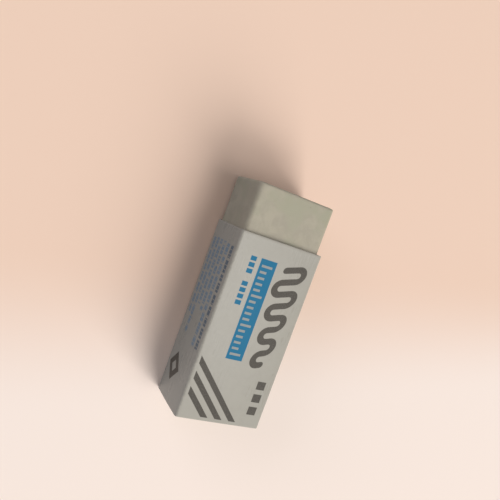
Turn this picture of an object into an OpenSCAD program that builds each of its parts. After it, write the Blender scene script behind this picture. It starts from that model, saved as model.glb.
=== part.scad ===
// Pencil eraser: a bar of white rubber held in an open-ended card sleeve.
// The bar lies flat on its wide face. +X runs along the bar towards its bare end,
// +Y points at the printed narrow side and +Z up, out of the printed wide side.

/* [Rubber block] */
// Length of the rubber block
block_l = 43.5; // [30:0.5:70]
// Width of the rubber block
block_w = 16; // [10:0.5:30]
// Height of the rubber block, lying on its wide face
block_h = 11; // [6:0.5:20]
// Radius that the extruder's die leaves along the four long edges
die_edge_r = 0.9; // [0.2:0.1:2]
// Radius worn on the edges of the two knife-cut ends
cut_edge_r = 0.4; // [0.1:0.1:1.5]

/* [Card sleeve] */
// Length of the sleeve along the block
sleeve_l = 34.5; // [15:0.5:60]
// Thickness of the card
card_t = 0.3; // [0.15:0.05:0.6]
// How far the block stands out of the sleeve at its covered end
covered_end_out = 0.2; // [0:0.1:5]
// Free play between block and card, on each side
sleeve_play = 0.05; // [0.02:0.01:0.3]
// Inside radius of the card at a fold
fold_r = 0.2; // [0.05:0.05:0.6]
// How far the card springs out between two folds
panel_bow = 0.15; // [0.05:0.05:0.5]

/* [Glued lap] */
// Bare height below the outer flap's cut edge, up from the underside
flap_stop = 0.9; // [0.6:0.1:3]
// Bare height above the inner tab's cut edge, down from the top panel's inside
tab_stop = 1.6; // [0.6:0.1:4]

/* [Hidden] */

// Facets of a whole circle: small radii, and the long arcs of the bowed panels
$fn = 64;
bow_fn = 720;
// Overlap that joins two shapes drawn side by side
join = 0.01;

// Inside of the card tube, and the tube with one layer of card all round
inner_w = block_w + 2 * sleeve_play;
inner_h = block_h + 2 * sleeve_play;
tube_w = inner_w + 2 * card_t;
sleeve_h = inner_h + 2 * card_t;
// The lap side carries a second layer of card
sleeve_w = tube_w + card_t;
// The card folds no rounder inside than the bar's own edge lets it
inner_fold_r = min(fold_r, die_edge_r);
outer_fold_r = inner_fold_r + card_t;

// The sleeve is centred on Y, so the block and the tube sit half a layer off it
tube_y = card_t / 2;
block_z = card_t + sleeve_play;
sleeve_x = -block_l / 2 + covered_end_out;

// Rectangle with rounded corners, centred on X and standing on the X axis
module rounded_rect(w, h, r) {
    translate([-w / 2 + r, 0]) square([w - 2 * r, h]);
    translate([-w / 2, r]) square([w, h - 2 * r]);
    for (side = [-1, 1], up = [r, h - r])
        translate([side * (w / 2 - r), up]) circle(r);
}

// Shallow arc standing on a chord that is centred on the origin
module bow(chord, rise) {
    arc_r = (pow(chord / 2, 2) + pow(rise, 2)) / (2 * rise);
    intersection() {
        translate([0, rise - arc_r]) circle(arc_r, $fn = bow_fn);
        translate([-chord / 2, -join]) square([chord, rise + 2 * join]);
    }
}

// Section of a folded tube: flat below, and bowed between its folds elsewhere
module bowed_rect(w, h, r, rise) {
    rounded_rect(w, h, r);
    translate([0, h]) bow(w - 2 * r, rise);
    for (side = [-1, 1])
        translate([side * w / 2, h / 2]) rotate(-side * 90) bow(h - 2 * r, rise);
}

// One layer of card all round, with its inner tab folded up inside the lap side
module tube_outline() {
    translate([tube_y, 0]) bowed_rect(tube_w, sleeve_h, outer_fold_r, panel_bow);
}

// The top panel carried on over the lap side and down as the outer flap
module flap_outline() {
    intersection() {
        bowed_rect(sleeve_w, sleeve_h, outer_fold_r, panel_bow);
        translate([-sleeve_w, flap_stop]) square([2 * sleeve_w, sleeve_h]);
    }
}

// What the card goes round: the block's room, and the step where the tab stops
module room_outline() {
    translate([tube_y, card_t]) bowed_rect(inner_w, inner_h, inner_fold_r, panel_bow);
    translate([0, card_t]) intersection() {
        bowed_rect(inner_w + card_t, inner_h, inner_fold_r, panel_bow);
        translate([-sleeve_w, inner_h - tab_stop]) square([2 * sleeve_w, tab_stop + 1]);
    }
}

// Section turned to run along +X
module along_x(length) {
    rotate([90, 0, 90]) linear_extrude(length) children();
}

// Extruded bar: die radii along it, worn radii round its two cut ends
module rubber_block() {
    color("#aca593")
        translate([0, tube_y, block_z])
            intersection() {
                translate([-block_l / 2, 0, 0])
                    along_x(block_l) rounded_rect(block_w, block_h, die_edge_r);
                translate([0, block_w / 2, 0]) rotate([90, 0, 0])
                    linear_extrude(block_w) rounded_rect(block_l, block_h, cut_edge_r);
                translate([0, -block_w / 2, 0])
                    linear_extrude(block_h) rounded_rect(block_l, block_w, cut_edge_r);
            }
}

// Card blank folded round the block, its flap glued over its tab on the -Y side
module card_sleeve() {
    color("#b4b0a5")
        translate([sleeve_x, 0, 0])
            along_x(sleeve_l)
                difference() {
                    union() {
                        tube_outline();
                        flap_outline();
                    }
                    room_outline();
                }
}

rubber_block();
card_sleeve();
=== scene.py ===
"""Looks of a pencil eraser: a white rubber block in a folded, glued and printed card sleeve."""

import math
from typing import NamedTuple

import bpy
from mathutils import Matrix, Vector, noise


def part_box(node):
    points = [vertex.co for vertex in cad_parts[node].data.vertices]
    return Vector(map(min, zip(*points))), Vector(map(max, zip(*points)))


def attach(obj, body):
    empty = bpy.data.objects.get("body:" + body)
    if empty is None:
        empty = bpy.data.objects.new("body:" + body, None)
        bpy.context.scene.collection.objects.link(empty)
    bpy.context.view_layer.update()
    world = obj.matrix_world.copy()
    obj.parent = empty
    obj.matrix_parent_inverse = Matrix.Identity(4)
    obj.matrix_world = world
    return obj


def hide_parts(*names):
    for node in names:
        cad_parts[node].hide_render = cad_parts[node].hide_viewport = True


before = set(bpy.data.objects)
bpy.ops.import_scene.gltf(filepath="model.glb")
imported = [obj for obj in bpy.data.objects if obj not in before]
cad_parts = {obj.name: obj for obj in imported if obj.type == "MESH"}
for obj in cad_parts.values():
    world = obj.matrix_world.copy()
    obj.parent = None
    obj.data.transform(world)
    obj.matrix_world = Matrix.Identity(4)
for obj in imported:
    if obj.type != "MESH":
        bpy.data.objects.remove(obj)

bl_info = {
    "name": "Sleeved Eraser",
    "version": (1, 0, 0),
    "blender": (4, 5, 0),
    "location": "View3D > Sidebar > Eraser",
    "description": "Builds a rubber block and the folded card sleeve it slides in",
    "category": "Add Mesh",
}

MM = 0.001
QUARTER = math.pi / 2
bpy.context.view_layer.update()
BLOCK_LOW, BLOCK_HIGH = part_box("rubber_block")
SLEEVE_LOW, SLEEVE_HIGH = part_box("card_sleeve")


# Sizes and colours -----------------------------------------------------------------------------------


def size_mm(label, text, value):
    """A length in millimetres that the user can change."""
    return bpy.props.FloatProperty(
        name=label, description=text, default=value, min=0.0, precision=3
    )


def colour(label, text, value):
    """A scene-linear colour that the user can change."""
    return bpy.props.FloatVectorProperty(
        name=label, description=text, default=value, size=3, subtype="COLOR", min=0.0, max=1.0
    )


def angle(label, text, degrees):
    """An angle that the user can change."""
    return bpy.props.FloatProperty(
        name=label, description=text, default=math.radians(degrees), subtype="ANGLE"
    )


def lamp_place(label, degrees):
    """Azimuth from +X towards +Y, and elevation, at which a lamp stands."""
    return bpy.props.FloatVectorProperty(
        name=label, description="Azimuth and elevation", size=2, unit="ROTATION",
        default=tuple(map(math.radians, degrees)),
    )


def lamp_power(label, watts):
    """Power of a lamp that the user can change."""
    return bpy.props.FloatProperty(
        name=label, description="Power of the lamp", default=watts, min=0.0, unit="POWER"
    )


def lamp_width(label, metres):
    """Width of a square lamp that the user can change."""
    return bpy.props.FloatProperty(
        name=label, description="Width of the lamp", default=metres, min=0.0, unit="LENGTH"
    )


class RubberSettings(bpy.types.PropertyGroup):
    die_edge: size_mm("Die edge", "Radius of the long edges, mm", 0.9)
    cut_edge: size_mm("Cut edge", "Radius worn on the edges of the cut ends, mm", 0.4)
    sink: size_mm("Sink", "How far the wide faces sink in their middle, mm", 0.06)
    narrow_sink: size_mm("Narrow sink", "How far the narrow faces sink in their middle, mm", 0.036)
    unevenness: size_mm("Unevenness", "Depth of the shallow waves in the rubber, mm", 0.03)
    tint: colour("Rubber", "Colour of the rubber", (0.383, 0.344, 0.263))


class CardSettings(bpy.types.PropertyGroup):
    thickness: size_mm("Card", "Thickness of the card, mm", 0.3)
    fold: size_mm("Fold", "Inside radius of a fold, mm", 0.2)
    bow: size_mm("Bow", "How far a panel springs out between its folds, mm", 0.15)
    flap_stop: size_mm("Flap stop", "Height of the outer flap's cut edge, mm", 0.9)
    tab_stop: size_mm("Tab stop", "Drop of the inner tab's cut edge, mm", 1.6)
    glue: size_mm("Glue line", "Gap between the flap and the tab, mm", 0.02)
    grip: size_mm("Grip", "How far the bowed panels draw in on the rubber at the cut ends, mm", 0.11)
    grip_reach: size_mm("Grip reach", "How far in from a cut end the panels start to draw in, mm", 5.0)
    waviness: size_mm("Waviness", "Height of the shallow waves in a panel, mm", 0.05)
    flap_lift: size_mm("Flap lift", "How far the flap's free edge stands off, mm", 0.1)
    cut_bevel: size_mm("Cut bevel", "How far the card's cut edges are rounded, mm", 0.03)
    tab_line: size_mm("Tab line", "Where the tab's edge shows through the flap, mm across the blank", 18.6)
    tint: colour("Card", "Colour of the coated side of the card", (0.367, 0.344, 0.291))
    raw_tint: colour("Raw card", "Colour of the bare side and the cut edges", (0.40, 0.365, 0.30))
    seed: bpy.props.IntProperty(name="Seed", description="Picks the pattern of waves", default=7)
    rings: bpy.props.IntProperty(
        name="Rings", description="Rows of points along the sleeve", default=90, min=2
    )


class PrintSettings(bpy.types.PropertyGroup):
    bar: colour("Bar ink", "Colour of the bright ink", (0.007, 0.147, 0.27))
    dark: colour("Dark ink", "Colour of the dark ink", (0.062, 0.057, 0.048))
    small: colour("Fine ink", "Colour of the fine broken rules", (0.13, 0.225, 0.31))


class StageSettings(bpy.types.PropertyGroup):
    near_floor: colour("Near floor", "Colour of the floor in front", (0.91, 0.772, 0.682))
    far_floor: colour("Far floor", "Colour of the floor behind", (0.838, 0.608, 0.474))
    floor_azimuth: angle("Floor azimuth", "Where the floor pales, from +X towards +Y", -168)
    bounce: colour("Bounce", "Colour that the floor sends back to the eraser", (0.15, 0.145, 0.15))
    azimuth: angle("Azimuth", "Where the camera stands, from +X towards +Y", 81.52)
    elevation: angle("Elevation", "How high the camera stands", 62.8)
    roll: angle("Roll", "How far the camera is turned about its view", 117.7)
    distance: size_mm("Distance", "From the camera to the point it looks at, mm", 98.11)
    aim: bpy.props.FloatVectorProperty(
        name="Aim", description="Point that the camera looks at, mm", default=(9.59, 3.03, 6.0), size=3
    )
    lens: bpy.props.FloatProperty(
        name="Lens", description="Focal length on a sensor 36 mm wide", default=38.49, unit="CAMERA"
    )
    key_power: lamp_power("Key lamp", 240.0)
    key_width: lamp_width("Key width", 3.4)
    key_place: lamp_place("Key place", (-138, 34))
    high_power: lamp_power("High lamp", 60.0)
    high_width: lamp_width("High width", 2.0)
    high_place: lamp_place("High place", (-109, 66.5))
    fill_power: lamp_power("Fill lamp", 122.0)
    fill_width: lamp_width("Fill width", 3.8)
    fill_place: lamp_place("Fill place", (55, 12))
    fill_tint: colour("Fill tint", "Colour of the fill lamp", (0.85, 0.86, 1.0))
    sky: bpy.props.FloatProperty(name="Sky", description="Strength of the even light", default=0.28, min=0.0)
    sky_tint: colour("Sky tint", "Colour of the even light", (0.93, 0.97, 1.0))
    backdrop: colour("Backdrop", "Colour seen behind the floor", (0.80, 0.61, 0.49))


def toned(tint, *shares):
    """A tint with its channels multiplied by three shares, or all of them by one, and none above 1."""
    shares = shares if len(shares) == 3 else shares * 3
    return tuple(min(1.0, channel * share) for channel, share in zip(tint, shares))


# Helpers ---------------------------------------------------------------------------------------------


def linked(name, data):
    """New object of this data, in the scene."""
    made = bpy.data.objects.new(name, data)
    bpy.context.collection.objects.link(made)
    return made


class Nodes:
    """Short ways to add nodes to the tree of a material, a world or a piece of geometry."""

    def __init__(self, tree):
        self.tree = tree

    def feed(self, socket, value):
        """Links another node's socket to this one, or gives it a plain value."""
        if isinstance(value, bpy.types.NodeSocket):
            self.tree.links.new(value, socket)
        else:
            socket.default_value = value

    def node(self, kind, inputs=None, **settings):
        """New node with these settings, and with its inputs fed by their names or numbers."""
        made = self.tree.nodes.new(kind)
        for key, value in settings.items():
            setattr(made, key, value)
        for key, value in (inputs or {}).items():
            self.feed(made.inputs[key], value)
        return made

    def math(self, operation, *values):
        """One step of arithmetic on plain numbers."""
        return self.node("ShaderNodeMath", dict(enumerate(values)), operation=operation).outputs[0]

    def vector(self, operation, *values):
        """One step of arithmetic on vectors."""
        return self.node("ShaderNodeVectorMath", dict(enumerate(values)), operation=operation).outputs[0]

    def chain(self, operation, first, *others):
        """One value worked out of several, taken in turn."""
        for other in others:
            first = self.math(operation, first, other)
        return first

    def product(self, *values):
        return self.chain("MULTIPLY", *values)

    def total(self, *values):
        return self.chain("ADD", *values)

    def largest(self, *values):
        return self.chain("MAXIMUM", *values)

    def minus(self, first, second):
        return self.math("SUBTRACT", first, second)

    def ramp(self, value, low, high, to_low=0.0, to_high=1.0):
        """Smooth step from to_low, at low, to to_high, at high."""
        numbers = dict(enumerate((value, low, high, to_low, to_high)))
        return self.node("ShaderNodeMapRange", numbers, interpolation_type="SMOOTHSTEP").outputs[0]

    def length(self, first, second):
        """Length of the vector with these two parts."""
        pair = self.node("ShaderNodeCombineXYZ", {0: first, 1: second}).outputs[0]
        return self.node("ShaderNodeVectorMath", {0: pair}, operation="LENGTH").outputs["Value"]


class Finish(Nodes):
    """Material of one shader, with patterns laid out in millimetres."""

    def __init__(self, name):
        self.material = bpy.data.materials.new(name)
        self.material.use_nodes = True
        super().__init__(self.material.node_tree)

    def shade(self, inputs):
        """Feeds the shader's inputs, and gives the finished material."""
        shader = self.tree.nodes["Principled BSDF"]
        for name, value in inputs.items():
            self.feed(shader.inputs[name], value)
        return self.material

    def object_mm(self, stretch=(1.0, 1.0, 1.0)):
        """Object coordinates in millimetres, squeezed along an axis where a pattern runs along it."""
        place = self.node("ShaderNodeTexCoord").outputs["Object"]
        return self.vector("MULTIPLY", place, tuple(k / MM for k in stretch))

    def noise(self, vector, scale, detail=2.0, roughness=0.5, distortion=0.0):
        """Soft noise with this many patches to a millimetre."""
        numbers = {"Scale": scale, "Detail": detail, "Roughness": roughness, "Distortion": distortion}
        return self.node("ShaderNodeTexNoise", {"Vector": vector, **numbers}).outputs["Fac"]

    def cells(self, inputs, **settings):
        """Distance from the middle or from the edge of scattered cells."""
        return self.node("ShaderNodeTexVoronoi", inputs, **settings).outputs["Distance"]

    def blend(self, share, first, second):
        """Colour that goes from first to second as share goes from 0 to 1."""
        inputs = {0: share}
        for key, tint in ((6, first), (7, second)):
            inputs[key] = tint if isinstance(tint, bpy.types.NodeSocket) else (*tint, 1.0)
        return self.node("ShaderNodeMix", inputs, data_type="RGBA").outputs[2]

    def bump(self, height, strength, depth_mm, under=None):
        """Normal of a relief this deep, on top of another one where under gives it."""
        inputs = {"Height": height, "Strength": strength, "Distance": depth_mm * MM}
        if under is not None:
            inputs["Normal"] = under
        return self.node("ShaderNodeBump", inputs).outputs[0]


# Rubber block ----------------------------------------------------------------------------------------

# Steps along a flat and round a corner of the section
FLAT_STEPS = 26
ARC_STEPS = 8

# Steps round the edge of an end, along the bar, and from an end's edge to its middle
END_STEPS = 6
BODY_STEPS = 80
CAP_STEPS = 14

# Waves to a millimetre, and the powers by which a sink dies away towards the ends and below the skin
WAVES_PER_MM = 0.16
END_POWER = 6
SKIN_POWER = 8


def rounded_section(half_w, half_h, radius):
    """Points round a rounded rectangle, anticlockwise from the top of its right-hand side."""
    corners = ((1, 1), (-1, 1), (-1, -1), (1, -1))
    centres = [Vector((side * (half_w - radius), up * (half_h - radius))) for side, up in corners]
    points = []
    for index, centre in enumerate(centres):
        turns = [QUARTER * (index + k / ARC_STEPS) for k in range(ARC_STEPS + 1)]
        arc = [radius * Vector((math.cos(turn), math.sin(turn))) for turn in turns]
        points += [centre + p for p in arc[:-1]]
        start, end = centre + arc[-1], centres[(index + 1) % len(centres)] + arc[-1]
        points += [start.lerp(end, k / FLAT_STEPS) for k in range(FLAT_STEPS)]
    return points


def block_stations(length, edge):
    """(x, inset) of each ring along the block, from end to end."""
    half = length / 2
    turns = [QUARTER * k / END_STEPS for k in range(END_STEPS + 1)]
    end = [(half - edge * (1 - math.sin(turn)), edge * (1 - math.cos(turn))) for turn in turns]
    body = [((half - edge) * (2 * k / BODY_STEPS - 1), 0.0) for k in range(1, BODY_STEPS)]
    return [(-x, inset) for x, inset in reversed(end)] + body + end


def settle(p, size, s):
    """Moves a point of the bar inwards: the sink of each face, and the waves of the rubber."""
    share = Vector([2 * place / whole for place, whole in zip(p, size)])
    wave = s.unevenness * (noise.noise(p / MM * WAVES_PER_MM) + 1) / 2
    along = 1 - min(1, share.x**END_POWER)
    wide = s.sink * along * (1 - min(1, share.y**2)) + wave
    narrow = s.narrow_sink * along * (1 - min(1, share.z**2)) + wave
    p.z -= math.copysign(wide * MM * share.z**SKIN_POWER, share.z)
    p.y -= math.copysign(narrow * MM * share.y**SKIN_POWER, share.y)


def block_rings(size, s):
    """Rings of points on the block, from near the middle of one end to near the middle of the other."""
    die, cut = s.die_edge * MM, s.cut_edge * MM
    rings = []
    for x, inset in block_stations(size.x, cut):
        section = rounded_section(size.y / 2 - inset, size.z / 2 - inset, max(die - inset, cut))
        rings.append([Vector((x, *p)) for p in section])
    shares = [1 - k / CAP_STEPS for k in range(1, CAP_STEPS)]
    low_cap, high_cap = (
        [[Vector((p.x, p.y * share, p.z * share)) for p in ring] for share in shares]
        for ring in (rings[0], rings[-1])
    )
    return low_cap[::-1] + rings + high_cap


def skin_faces(rings, around):
    """Faces between neighbouring rings of points, and from the end rings to the two poles after them."""
    last, low_pole = (rings - 1) * around, rings * around
    sides = [(k, (k + 1) % around) for k in range(around)]
    faces = [
        (row + k, row + around + k, row + around + after, row + after)
        for row in range(0, last, around)
        for k, after in sides
    ]
    for k, after in sides:
        faces += [(low_pole, k, after), (low_pole + 1, last + after, last + k)]
    return faces


def rubber_mesh(s):
    """Extruded bar whose faces sink a little, with waves too shallow to touch the card."""
    size, centre = BLOCK_HIGH - BLOCK_LOW, (BLOCK_HIGH + BLOCK_LOW) / 2
    rings = block_rings(size, s)
    vertices = [p for ring in rings for p in ring]
    vertices += [Vector((-size.x / 2, 0, 0)), Vector((size.x / 2, 0, 0))]
    for p in vertices:
        settle(p, size, s)
    mesh = bpy.data.meshes.new("Rubber block")
    mesh.from_pydata([p + centre for p in vertices], [], skin_faces(len(rings), len(rings[0])))
    mesh.update()
    return mesh


def rubber_material(s):
    """Matt white rubber: soft mottling, a fine grain, a few specks and the drag of the knife on its ends."""
    g = Finish("White rubber")
    place = g.object_mm()
    mottle = g.noise(place, scale=0.4, detail=4.0, roughness=0.62, distortion=0.4)
    cloud = g.noise(place, scale=0.17)
    specks = g.cells({"Vector": place, "Scale": 0.3}, feature="F1")
    tone = g.blend(g.ramp(mottle, 0.32, 0.68), toned(s.tint, 0.91), toned(s.tint, 1.07))
    tone = g.blend(g.ramp(cloud, 0.42, 0.62), tone, toned(s.tint, 0.93, 0.98, 0.93))
    tone = g.blend(g.ramp(specks, 0.02, 0.06, 0.4, 0.0), tone, toned(s.tint, 0.5, 0.36, 0.3))

    grain = g.noise(place, scale=5.0, detail=3.0, roughness=0.6)
    pull = g.noise(g.object_mm((0.06, 1.4, 1.4)), scale=1.6)
    drag = g.noise(g.object_mm((1.0, 2.2, 0.12)), scale=1.5, detail=3.0, roughness=0.55)
    normal = g.node("ShaderNodeTexCoord").outputs["Normal"]
    facing = g.node("ShaderNodeSeparateXYZ", {0: normal}).outputs["X"]
    on_end = g.ramp(g.math("ABSOLUTE", facing), 0.8, 0.98)
    relief = g.total(g.product(g.total(grain, pull), 0.35), g.product(drag, on_end, 1.3))
    return g.shade({
        "Base Color": tone,
        "Roughness": g.ramp(mottle, 0.2, 0.8, 0.42, 0.56),
        "Specular IOR Level": 0.4,
        "Subsurface Weight": 0.12,
        "Subsurface Radius": (1.0, 0.9, 0.7),
        "Subsurface Scale": 0.6 * MM,
        "Normal": g.bump(relief, strength=0.5, depth_mm=0.05),
    })


# Card sleeve -----------------------------------------------------------------------------------------

# Which of the card's corners is the fold between its two printed sides
PRINTED_FOLD = 3

# Distance between points across a panel, and steps round a fold
PANEL_SPACING = 0.4 * MM
FOLD_STEPS = 7

# How far down the flap its glue holds, as a share of its height
GLUED_SHARE = 0.55

# Waves to a metre in the panels and along the flap's free edge
PANEL_WAVES = 120.0
EDGE_WAVES = 90.0

# What the sleeve's Geometry Nodes tree is given, by kind of socket
FOLDING_INPUTS = {
    "NodeSocketGeometry": ("Geometry",),
    "NodeSocketFloat": ("Start", "End", "Grip", "Grip reach", "Waviness", "Flap lift", "Seed"),
    "NodeSocketInt": ("Rings",),
    "NodeSocketMaterial": ("Bare side", "Card"),
}


class CardPoint(NamedTuple):
    """Point of the folded card's section.

    spring says how freely it can bow or wave, lift how near the flap's free edge it is, and crease is
    1 in the bend of a fold."""

    y: float
    z: float
    spring: float
    lift: float
    crease: float


def card_corners(s):
    """(y, z, bow) of the tab's cut edge, the four folds and the flap's cut edge, on the card's outside.

    bow says how far the panel before the corner springs out."""
    bow, thick = s.bow * MM, s.thickness * MM
    left, right = SLEEVE_LOW.y + bow, SLEEVE_HIGH.y - bow
    top = SLEEVE_HIGH.z - bow - SLEEVE_LOW.z
    tab = left + thick + s.glue * MM
    return [
        (tab, top - thick - s.tab_stop * MM, 0.0),
        (tab, 0.0, bow),
        (right, 0.0, 0.0),
        (right, top, bow),
        (left, top, bow),
        (left, s.flap_stop * MM, bow),
    ]


def panel_points(first, last, bow, is_flap):
    """Points across a panel from one fold to the next, on a shallow arc."""
    along = (last - first).normalized()
    outward = Vector((along.y, -along.x))
    steps = max(2, round((last - first).length / PANEL_SPACING))
    points = []
    for share in (k / steps for k in range(steps + 1)):
        crown = 1 - (2 * share - 1) ** 2
        p = first.lerp(last, share) + outward * bow * crown
        lift = max(0.0, (share - GLUED_SHARE) / (1 - GLUED_SHARE)) ** 2 if is_flap else 0.0
        points.append(CardPoint(p.x, p.y, crown if bow else 0.0, lift, 0.0))
    return points


def fold_points(start, along, turn, radius):
    """Points round a fold, from the end of one panel towards the start of the next."""
    centre = start + turn * radius
    points = []
    for bend in (QUARTER * k / FOLD_STEPS for k in range(1, FOLD_STEPS)):
        p = centre + radius * (along * math.sin(bend) - turn * math.cos(bend))
        points.append(CardPoint(p.x, p.y, 0.0, 0.0, 1.0))
    return points


def card_path(s):
    """Section of the folded card from the tab's cut edge round to the flap's."""
    corners = card_corners(s)
    places = [Vector(corner[:2]) for corner in corners]
    ways = [(end - start).normalized() for start, end in zip(places, places[1:])]
    radius = (s.fold + s.thickness) * MM
    path = []
    for index, along in enumerate(ways):
        is_tab, is_flap = index == 0, index == len(ways) - 1
        first = places[index] if is_tab else places[index] + along * radius
        last = places[index + 1] if is_flap else places[index + 1] - along * radius
        path += panel_points(first, last, corners[index + 1][2], is_flap)
        if not is_flap:
            path += fold_points(last, along, ways[index + 1], radius)
    return path


def across_blank(path, s):
    """Distance of each point across the blank, in mm, from the fold between the printed sides."""
    lengths = [0.0]
    for a, b in zip(path, path[1:]):
        lengths.append(lengths[-1] + math.dist(a[:2], b[:2]))
    fold = card_corners(s)[PRINTED_FOLD][:2]
    arris = min(range(len(path)), key=lambda k: math.dist(path[k][:2], fold))
    return [(length - lengths[arris]) / MM for length in lengths]


def fold_line_object(s):
    """Wire that the sleeve's section follows, turned as Curve to Mesh lays a profile along +X."""
    path = card_path(s)
    mesh = bpy.data.meshes.new("Fold line")
    mesh.from_pydata([(-p.y, -p.z, 0.0) for p in path], [(k, k + 1) for k in range(len(path) - 1)], [])
    values = {name: [getattr(p, name) for p in path] for name in ("spring", "lift", "crease")}
    for name, numbers in {"across": across_blank(path, s), **values}.items():
        mesh.attributes.new(name, "FLOAT", "POINT").data.foreach_set("value", numbers)
    return linked("Fold line", mesh)


def folding_tree():
    """Geometry Nodes tree that draws the fold line out into a sheet and springs its panels."""
    tree = bpy.data.node_groups.new("Fold card", "GeometryNodeTree")
    for kind, labels in FOLDING_INPUTS.items():
        for label in labels:
            tree.interface.new_socket(label, in_out="INPUT", socket_type=kind)
    tree.interface.new_socket("Geometry", in_out="OUTPUT", socket_type="NodeSocketGeometry")
    g = Nodes(tree)
    given = g.node("NodeGroupInput").outputs
    position = g.node("GeometryNodeInputPosition").outputs[0]

    def named(label):
        made = g.node("GeometryNodeInputNamedAttribute", {"Name": label}, data_type="FLOAT")
        return made.outputs["Attribute"]

    def waves(scale, detail):
        inputs = {"Vector": position, "W": given["Seed"], "Scale": scale, "Detail": detail}
        return g.node("ShaderNodeTexNoise", inputs, noise_dimensions="4D").outputs["Fac"]

    ends = {end: g.node("ShaderNodeCombineXYZ", {"X": given[end]}).outputs[0] for end in ("Start", "End")}
    line = g.node("GeometryNodeCurvePrimitiveLine", ends).outputs[0]
    spine = g.node("GeometryNodeResampleCurve", {"Curve": line, "Count": given["Rings"]}).outputs[0]
    profile = g.node("GeometryNodeMeshToCurve", {"Mesh": given["Geometry"]}).outputs[0]
    sheet = g.node("GeometryNodeCurveToMesh", {"Curve": spine, "Profile Curve": profile}).outputs[0]

    x = g.node("ShaderNodeSeparateXYZ", {0: position}).outputs["X"]
    near_mouth = g.ramp(x, g.minus(given["End"], given["Grip reach"]), given["End"])
    near_back = g.ramp(x, g.total(given["Start"], given["Grip reach"]), given["Start"])
    held = g.product(g.total(near_mouth, near_back), given["Grip"])
    wave = g.product(waves(PANEL_WAVES, detail=1.0), given["Waviness"])
    sprung = g.product(g.minus(wave, held), named("spring"))
    # The noise is about a half on average, so twice as much lifts the edge by about the flap's lift
    standing = g.product(waves(EDGE_WAVES, detail=0.0), named("lift"), given["Flap lift"], 2.0)
    outward = {0: g.node("GeometryNodeInputNormal").outputs[0], "Scale": g.total(sprung, standing)}
    offset = g.node("ShaderNodeVectorMath", outward, operation="SCALE").outputs[0]
    bent = g.node("GeometryNodeSetPosition", {"Geometry": sheet, "Offset": offset}).outputs[0]

    along = g.math("DIVIDE", g.minus(x, given["Start"]), MM)
    blank = g.node("ShaderNodeCombineXYZ", {"X": named("across"), "Y": along}).outputs[0]
    layout = {"Geometry": bent, "Name": "Blank", "Value": blank}
    mapped = g.node("GeometryNodeStoreNamedAttribute", layout, data_type="FLOAT2", domain="CORNER")
    coated = g.node("GeometryNodeRealizeInstances", {0: mapped.outputs[0]}).outputs[0]
    # The card's own material is set last, over the bare side's, so the sheet keeps both and wears the card's
    for label in ("Bare side", "Card"):
        coating = {"Geometry": coated, "Material": given[label]}
        coated = g.node("GeometryNodeSetMaterial", coating).outputs[0]
    g.node("NodeGroupOutput", {"Geometry": coated})
    return tree


def set_inputs(modifier, values):
    """Sets a Geometry Nodes modifier's inputs, given by name, by their sockets' identifiers."""
    for item in modifier.node_group.interface.items_tree:
        if item.item_type == "SOCKET" and item.in_out == "INPUT" and item.name in values:
            modifier[item.identifier] = values[item.name]


def card_sheet(s, bare, printed):
    """Folded sheet of card, drawn out and given its thickness, as a plain mesh."""
    sheet = fold_line_object(s)
    for material in (bare, printed):
        sheet.data.materials.append(material)
    folding = sheet.modifiers.new("Fold card", "NODES")
    folding.node_group = folding_tree()
    set_inputs(folding, {
        "Start": SLEEVE_LOW.x,
        "End": SLEEVE_HIGH.x,
        "Grip": s.grip * MM,
        "Grip reach": s.grip_reach * MM,
        "Waviness": s.waviness * MM,
        "Flap lift": s.flap_lift * MM,
        "Seed": float(s.seed),
        "Rings": s.rings,
        "Bare side": bare,
        "Card": printed,
    })
    # The sheet has the print. The side and the rim that its thickness adds take the material before it
    wall = sheet.modifiers.new("Card thickness", "SOLIDIFY")
    wall.thickness, wall.offset = s.thickness * MM, -1.0
    wall.material_offset = wall.material_offset_rim = -1
    edge = sheet.modifiers.new("Cut edge", "BEVEL")
    edge.width, edge.segments, edge.limit_method = s.cut_bevel * MM, 2, "ANGLE"
    graph = bpy.context.evaluated_depsgraph_get()
    mesh = bpy.data.meshes.new_from_object(sheet.evaluated_get(graph), depsgraph=graph)
    mesh.name = "Card sleeve"
    bpy.data.objects.remove(sheet)
    return mesh


# Print on the card -----------------------------------------------------------------------------------


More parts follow.
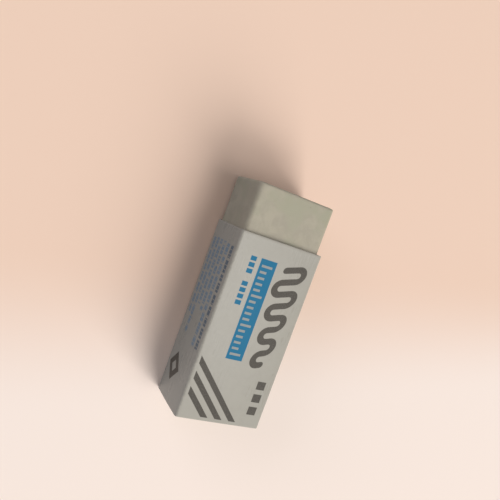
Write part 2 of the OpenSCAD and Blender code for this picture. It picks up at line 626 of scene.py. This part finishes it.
class Blank:
    """Places on the card blank, in mm.

    across is from the fold between the printed sides, and up is from the covered end."""

    LENGTH = (SLEEVE_HIGH.x - SLEEVE_LOW.x) / MM
    # Half the softness of a printed edge, how far the edges wander, and waves of that to a millimetre
    SOFT = 0.035
    WANDER = 0.05
    WANDER_WAVES = 6.0
    # Where a stripe starts in its step, so that its soft edge is whole, and room at the ends of their row
    STRIPE_START = 0.04
    STRIPE_ROOM = 0.1
    # How far beyond its end runs a squiggle is worked out, as a share of its stroke
    STROKE_ROOM = 0.75
    # Breaks in a rule: dashes to a millimetre, half a gap as a share of a dash, and ink left in the gap
    BREAKS = ((0.45, 0.06, 0.0), (1.3, 0.07, 0.25))
    BREAK_SOFT = 0.05
    # Millimetres between the places that two neighbouring rules take their breaks from
    RULE_SHIFT = 23.7

    def __init__(self, g):
        self.g = g
        flat = g.node("ShaderNodeUVMap", uv_map="Blank").outputs["UV"]
        waves = g.node("ShaderNodeTexNoise", {"Vector": flat, "Scale": self.WANDER_WAVES, "Detail": 2.0})
        centred = g.vector("SUBTRACT", waves.outputs["Color"], (0.5, 0.5, 0.5))
        shaken = g.vector("MULTIPLY_ADD", centred, (self.WANDER, self.WANDER, 0.0), flat)
        parts = g.node("ShaderNodeSeparateXYZ", {0: shaken}).outputs
        self.across, self.up = parts["X"], parts["Y"]

    def past(self, value, edge):
        """1 above edge, with a printed edge's softness."""
        return self.g.ramp(value, edge - self.SOFT, edge + self.SOFT)

    def below(self, value, edge):
        """1 below edge, with a printed edge's softness."""
        return self.g.ramp(value, edge - self.SOFT, edge + self.SOFT, 1.0, 0.0)

    def within(self, value, low, high):
        """1 between low and high, with a printed edge's softness."""
        away = self.g.math("ABSOLUTE", self.g.minus(value, (low + high) / 2))
        return self.below(away, (high - low) / 2)

    def rectangle(self, across, up):
        """1 inside a plain rectangle between two places across and two up."""
        return self.g.product(self.within(self.across, *across), self.within(self.up, *up))

    def steps(self, value, start, pitch):
        """How many steps of a row a place lies from its start."""
        return self.g.math("DIVIDE", self.g.minus(value, start), pitch)

    def into_step(self, value, start, pitch):
        """How far into its step of a row a place lies."""
        return self.g.product(self.g.math("FRACT", self.steps(value, start, pitch)), pitch)

    def blocks(self, across, up, first, pitch, width):
        """Row of like blocks between two places across, cut off at the two heights in up."""
        place = self.into_step(self.up, first, pitch)
        return self.g.product(self.within(place, 0.0, width), self.rectangle(across, up))

    def ruler(self, across, short, long, long_every, up, pitch, width):
        """Marks of a plain ruler: one in every long_every is longer."""
        marks = []
        for every, reach in ((1, short), (long_every, long)):
            place = self.into_step(self.up, up[0], pitch * every)
            marks.append(self.g.product(
                self.within(place, 0.0, width), self.within(self.across, across, across + reach)
            ))
        return self.g.product(self.g.largest(*marks), self.within(self.up, *up))

    def stripes(self, last, pitch, width, count, margin):
        """Stripes at 45 degrees, cut off at a margin across and another up.

        The last one starts where across and up add up to last."""
        slant = self.g.total(self.across, self.up)
        first = last - pitch * (count - 1)
        place = self.into_step(slant, first, pitch)
        row = self.within(slant, first - self.STRIPE_ROOM, last + width + self.STRIPE_ROOM)
        corner = self.g.product(self.past(self.across, margin[0]), self.past(self.up, margin[1]))
        return self.g.product(self.within(place, self.STRIPE_START, width), row, corner)

    def squiggle(self, middle, reach, last_reach, pitch, stroke, up, lean):
        """Round-ended stroke that swings to and fro in even turns, and dies away towards the covered end.

        Its runs go straight for reach, at last for last_reach, to either side of the middle. The end runs
        lie at the two heights in up, an even number of pitches apart."""
        g = self.g
        off = g.minus(self.across, middle)
        leaning = g.minus(self.up, g.product(off, lean))
        room = stroke * self.STROKE_ROOM
        along = g.math("MINIMUM", g.largest(leaning, up[0] - room), up[1] + room)
        straight = g.ramp(along, up[0], up[1], last_reach, reach)
        beyond = g.largest(g.minus(g.math("ABSOLUTE", off), straight), 0.0)
        # Distance from the runs and from the half rings that join them, on the left and the right in turn
        left = g.math("LESS_THAN", off, 0.0)
        climb = g.total(g.minus(along, up[0] - pitch / 2), g.product(left, pitch))
        from_turn = g.math("PINGPONG", climb, pitch)
        turn = g.minus(g.length(beyond, from_turn), pitch / 2)
        # Distance from a run that no half ring goes on from, as at the stroke's two ends
        stub = g.length(beyond, g.minus(from_turn, pitch / 2))
        low_end = g.product(g.minus(1.0, left), g.math("LESS_THAN", leaning, up[0] + pitch / 2))
        high_end = g.product(left, g.math("GREATER_THAN", leaning, up[1] - pitch / 2))
        line = g.math("MULTIPLY_ADD", g.largest(low_end, high_end), g.minus(stub, turn), turn)
        return self.below(g.length(line, g.minus(leaning, along)), stroke / 2)

    def broken_rules(self, rows, first, pitch, height, up, ragged):
        """Rows of dashes of uneven length, the texture of fine print with nothing to read.

        ragged is the most by which a row stops short at its low end."""
        g = self.g
        row = g.math("FLOOR", self.steps(self.across, first, pitch))
        chance = g.node("ShaderNodeTexWhiteNoise", {"W": row}, noise_dimensions="1D").outputs["Value"]
        inside = g.product(
            self.within(self.into_step(self.across, first, pitch), 0.0, height),
            self.within(self.across, first, first + pitch * rows),
            self.within(self.up, *up),
            self.past(g.minus(self.up, g.product(chance, ragged)), up[0]),
        )
        place = g.total(self.up, g.product(row, self.RULE_SHIFT))
        for scale, gap, left_over in self.BREAKS:
            dash = {"W": place, "Scale": scale}
            edge = g.cells(dash, voronoi_dimensions="1D", feature="DISTANCE_TO_EDGE")
            inside = g.product(inside, g.ramp(edge, gap, gap + self.BREAK_SOFT, left_over))
        return inside

    def diamond_ring(self, centre, size, stroke):
        """Ring of four straight sides, of this size from its middle to its outer corners."""
        g = self.g
        offsets = (g.minus(self.across, centre[0]), g.minus(self.up, centre[1]))
        reach = g.total(*(g.math("ABSOLUTE", offset) for offset in offsets))
        return self.within(reach, size - stroke, size)


def bright_print(b):
    """(ink, marks) of the bright print: a bar with a ruler's marks left bare in it, and a row of blocks."""
    g = b.g
    bar = b.rectangle(across=(5.2, 8.5), up=(12.1, 30.9))
    marks = b.ruler(
        across=5.7, short=1.35, long=2.15, long_every=5, up=(12.9, 30.5), pitch=1.1, width=0.44
    )
    blocks = b.blocks(across=(3.15, 4.3), up=(21.8, 30.85), first=21.9, pitch=1.16, width=0.82)
    gap = b.within(b.up, 26.4, 27.6)
    return g.largest(bar, g.product(blocks, g.minus(1.0, gap))), g.product(marks, bar)


def dark_print(b):
    """Dark print: a squiggle, three squares, three slanted stripes, and a ring on the narrow side."""
    return b.g.largest(
        b.squiggle(
            middle=12.1, reach=1.35, last_reach=0.27, pitch=2.3, stroke=1.2, up=(12.1, 30.5), lean=0.3
        ),
        b.blocks(across=(13.4, 15.2), up=(2.4, 9.3), first=2.5, pitch=2.5, width=1.6),
        b.stripes(last=10.95, pitch=2.86, width=1.5, count=3, margin=(0.8, 0.65)),
        b.diamond_ring(centre=(-7.4, 6.3), size=2.8, stroke=1.65),
    )


def card_wear_and_fold_highlight(b, place):
    """How pale the coating is made: in patches along the folds, which is wear and a painted highlight, and
    frayed along the two cut edges, which is wear.
    """
    g = b.g
    crease = g.node("ShaderNodeAttribute", attribute_name="crease").outputs["Fac"]
    patches = g.ramp(g.noise(place, scale=1.6, detail=4.0, roughness=0.7), 0.42, 0.62)
    reach = 0.35
    cut = g.largest(g.ramp(b.up, 0.0, reach, 1.0, 0.0), g.ramp(b.up, b.LENGTH - reach, b.LENGTH))
    frays = g.ramp(g.noise(place, scale=2.5, detail=3.0, roughness=0.7), 0.4, 0.6)
    return g.largest(g.product(crease, patches, 0.5), g.product(cut, frays, 0.35))


def printed_material(s, ink):
    """Coated card with its print. Wear and a painted highlight make it pale along its folds, and wear makes
    it pale along its cut edges.

    The flap shows the edge of the tab that is glued under it."""
    g = Finish("Printed card")
    b = Blank(g)

    # Bare card
    place = g.object_mm()
    fibre = g.noise(place, scale=7.0, detail=3.0, roughness=0.6)
    cloud = g.noise(place, scale=0.2)
    pressed = g.noise(place, scale=0.9, detail=3.0, roughness=0.6)
    shade = g.total(g.product(cloud, 0.6), g.product(pressed, 0.4))
    card = g.blend(g.ramp(shade, 0.35, 0.65), toned(s.tint, 0.97), toned(s.tint, 1.025))

    # Inks, and wear through them, with a painted highlight along the folds
    bright, marks = bright_print(b)
    dark = g.product(dark_print(b), g.ramp(fibre, 0.3, 0.62, 0.86, 1.0))
    rules = b.broken_rules(rows=5, first=-10.2, pitch=1.67, height=1.1, up=(11.8, 31.4), ragged=8.0)
    heading = b.broken_rules(rows=1, first=-1.8, pitch=1.15, height=1.0, up=(12.0, 31.4), ragged=0.0)
    tone = g.blend(bright, card, ink.bar)
    tone = g.blend(g.product(marks, 0.8), tone, card)
    tone = g.blend(g.product(rules, 0.8), tone, ink.small)
    tone = g.blend(g.product(heading, 0.9), tone, toned(ink.small, 0.5))
    tone = g.blend(dark, tone, ink.dark)
    # Paler card along the folds is wear and a painted highlight; along the cut edges it is wear
    worn = card_wear_and_fold_highlight(b, place)
    tone = g.blend(worn, tone, toned(s.tint, 1.25))

    # Gloss of the coating, which ink and wear take off
    streak = g.noise(g.object_mm((0.15, 1.5, 1.5)), scale=2.0, detail=3.0, roughness=0.6)
    coating = g.ramp(cloud, 0.2, 0.8, 0.22, 0.28)
    matt = (g.product(worn, 0.25), g.product(streak, 0.08), g.product(g.largest(bright, dark), 0.24))

    # Relief of the tab's edge, and of the card's fibres over it
    soft = 0.25
    tab_edge = g.ramp(b.across, s.tab_line - soft, s.tab_line + soft)
    under = g.bump(tab_edge, strength=0.6, depth_mm=0.05)
    skin = g.total(g.product(fibre, 0.3), pressed)
    return g.shade({
        "Base Color": tone,
        "Roughness": g.total(coating, *matt),
        "Specular IOR Level": 0.35,
        "Normal": g.bump(skin, strength=0.4, depth_mm=0.035, under=under),
    })


def raw_card_material(s):
    """Bare side and cut edges of the card."""
    g = Finish("Raw card")
    fibre = g.noise(g.object_mm(), scale=4.0, detail=4.0, roughness=0.65)
    ply = g.noise(g.object_mm((0.4, 1.0, 1.0)), scale=9.0, roughness=0.6)
    return g.shade({
        "Base Color": g.blend(g.ramp(fibre, 0.3, 0.7), toned(s.raw_tint, 0.88), toned(s.raw_tint, 1.08)),
        "Roughness": 0.9,
        "Specular IOR Level": 0.2,
        "Normal": g.bump(ply, strength=0.6, depth_mm=0.03),
    })


# Stage -----------------------------------------------------------------------------------------------

# Metres from a lamp to the eraser, from the floor's middle to its sides, and between which the camera sees
LAMP_DISTANCE = 5.0
FLOOR_HALF = 0.6
CAMERA_RANGE = (0.001, 10.0)

# Width of the camera's sensor, mm
SENSOR_WIDTH = 36.0

# Millimetres from the origin between which the floor pales
FLOOR_FADE = (-7.0, 24.0)


def direction(azimuth, elevation):
    """Unit vector towards a place seen at this azimuth and elevation."""
    level = math.cos(elevation)
    return Vector((level * math.cos(azimuth), level * math.sin(azimuth), math.sin(elevation)))


def area_lamp(name, power, width, place, aim, mirrored=True, tint=(1.0, 1.0, 1.0)):
    """Square lamp that faces aim from the azimuth and elevation in place.

    mirrored says whether a gloss shows it."""
    data = bpy.data.lights.new(name, "AREA")
    data.energy, data.size, data.color = power, width, tint
    lamp = linked(name, data)
    lamp.location = aim + direction(*place) * LAMP_DISTANCE
    lamp.rotation_mode = "QUATERNION"
    lamp.rotation_quaternion = (-direction(*place)).to_track_quat("-Z", "Y")
    lamp.visible_glossy = mirrored


def camera_object(s, aim):
    """Camera that looks at aim from its azimuth and elevation, turned about its view."""
    data = bpy.data.cameras.new("Camera")
    data.lens, data.sensor_width = s.lens, SENSOR_WIDTH
    data.clip_start, data.clip_end = CAMERA_RANGE
    back = direction(s.azimuth, s.elevation)
    level = (-back).to_track_quat("-Z", "Y").to_matrix().to_4x4()
    place = Matrix.Translation(aim + back * s.distance * MM)
    camera = linked("Camera", data)
    camera.matrix_world = place @ level @ Matrix.Rotation(s.roll, 4, "Z")
    return camera


def seen_directly(g):
    """1 where a surface is seen by the camera, or in a reflection or through glass."""
    path = g.node("ShaderNodeLightPath").outputs
    return g.largest(*(path[kind] for kind in ("Is Camera Ray", "Is Glossy Ray", "Is Transmission Ray")))


def floor_object(s):
    """Wide floor that pales towards one side, and sends back a plain soft light."""
    g = Finish("Pale floor")
    pale_side = tuple(direction(s.floor_azimuth, 0.0))
    along = g.node("ShaderNodeVectorMath", {0: g.object_mm(), 1: pale_side}, operation="DOT_PRODUCT")
    tint = g.blend(g.ramp(along.outputs["Value"], *FLOOR_FADE), s.far_floor, s.near_floor)
    material = g.shade({
        "Base Color": g.blend(seen_directly(g), s.bounce, tint),
        "Roughness": 0.9,
        "Specular IOR Level": 0.1,
    })
    mesh = bpy.data.meshes.new("Floor")
    corners = [(x * FLOOR_HALF, y * FLOOR_HALF, 0.0) for x, y in ((-1, -1), (1, -1), (1, 1), (-1, 1))]
    mesh.from_pydata(corners, [], [(0, 1, 2, 3)])
    mesh.materials.append(material)
    linked("Floor", mesh)


def even_light(s):
    """World that lights the eraser evenly, and shows the backdrop's colour."""
    world = bpy.data.worlds.new("Even light")
    world.use_nodes = True
    g = Nodes(world.node_tree)
    lit = g.tree.nodes["Background"]
    g.feed(lit.inputs["Color"], (*s.sky_tint, 1.0))
    g.feed(lit.inputs["Strength"], s.sky)
    shown = g.node("ShaderNodeBackground", {"Color": (*s.backdrop, 1.0)})
    layers = {"Fac": seen_directly(g), 1: lit.outputs[0], 2: shown.outputs[0]}
    mixed = g.node("ShaderNodeMixShader", layers).outputs[0]
    g.feed(g.tree.nodes["World Output"].inputs["Surface"], mixed)
    return world


# Operators -------------------------------------------------------------------------------------------

# Sharpest angle between two faces that are still shaded as one
SMOOTH_ANGLE = math.radians(25)


def add_piece(name, mesh, body, node):
    """Links a finished mesh as a piece that rides on a body and stands for a CAD node."""
    mesh.shade_smooth()
    mesh.set_sharp_from_angle(angle=SMOOTH_ANGLE)
    piece = linked(name, mesh)
    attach(piece, body)
    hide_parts(node)


class ERASER_OT_rubber_block(bpy.types.Operator):
    """Build the white rubber block"""

    bl_idname = "eraser.rubber_block"
    bl_label = "Rubber block"

    def execute(self, context):
        s = context.scene.eraser_rubber
        mesh = rubber_mesh(s)
        mesh.materials.append(rubber_material(s))
        add_piece("Rubber_block", mesh, "block", "rubber_block")
        return {"FINISHED"}


class ERASER_OT_card_sleeve(bpy.types.Operator):
    """Fold, glue and print the card sleeve"""

    bl_idname = "eraser.card_sleeve"
    bl_label = "Card sleeve"

    def execute(self, context):
        s = context.scene.eraser_card
        mesh = card_sheet(s, raw_card_material(s), printed_material(s, context.scene.eraser_print))
        add_piece("Card_sleeve", mesh, "sleeve", "card_sleeve")
        return {"FINISHED"}


class ERASER_OT_stage(bpy.types.Operator):
    """Set up the camera, the floor and the lamps"""

    bl_idname = "eraser.stage"
    bl_label = "Stage"

    def execute(self, context):
        s, scene = context.scene.eraser_stage, context.scene
        aim = Vector(s.aim) * MM
        scene.view_settings.view_transform = "Standard"
        scene.camera = camera_object(s, aim)
        floor_object(s)
        area_lamp("Key lamp", s.key_power, s.key_width, s.key_place, aim, mirrored=False)
        area_lamp("High lamp", s.high_power, s.high_width, s.high_place, aim)
        area_lamp(
            "Fill lamp", s.fill_power, s.fill_width, s.fill_place, aim, mirrored=False, tint=s.fill_tint
        )
        scene.world = even_light(s)
        return {"FINISHED"}


class ERASER_PT_panel(bpy.types.Panel):
    """Eraser pieces and their settings"""

    bl_idname = "ERASER_PT_panel"
    bl_label = "Sleeved Eraser"
    bl_space_type = "VIEW_3D"
    bl_region_type = "UI"
    bl_category = "Eraser"

    def draw(self, context):
        for kind in OPERATORS:
            self.layout.operator(kind.bl_idname)
        for name, group in SETTINGS.items():
            column = self.layout.column()
            for key in group.__annotations__:
                column.prop(getattr(context.scene, name), key)


SETTINGS = {
    "eraser_rubber": RubberSettings,
    "eraser_card": CardSettings,
    "eraser_print": PrintSettings,
    "eraser_stage": StageSettings,
}
OPERATORS = (ERASER_OT_stage, ERASER_OT_rubber_block, ERASER_OT_card_sleeve)
CLASSES = (*SETTINGS.values(), *OPERATORS, ERASER_PT_panel)


def register():
    for kind in CLASSES:
        bpy.utils.register_class(kind)
    for name, group in SETTINGS.items():
        setattr(bpy.types.Scene, name, bpy.props.PointerProperty(type=group))


def unregister():
    for name in SETTINGS:
        delattr(bpy.types.Scene, name)
    for kind in reversed(CLASSES):
        bpy.utils.unregister_class(kind)


def main():
    register()
    bpy.ops.eraser.stage()
    bpy.ops.eraser.rubber_block()
    bpy.ops.eraser.card_sleeve()


if __name__ == "__main__":
    main()
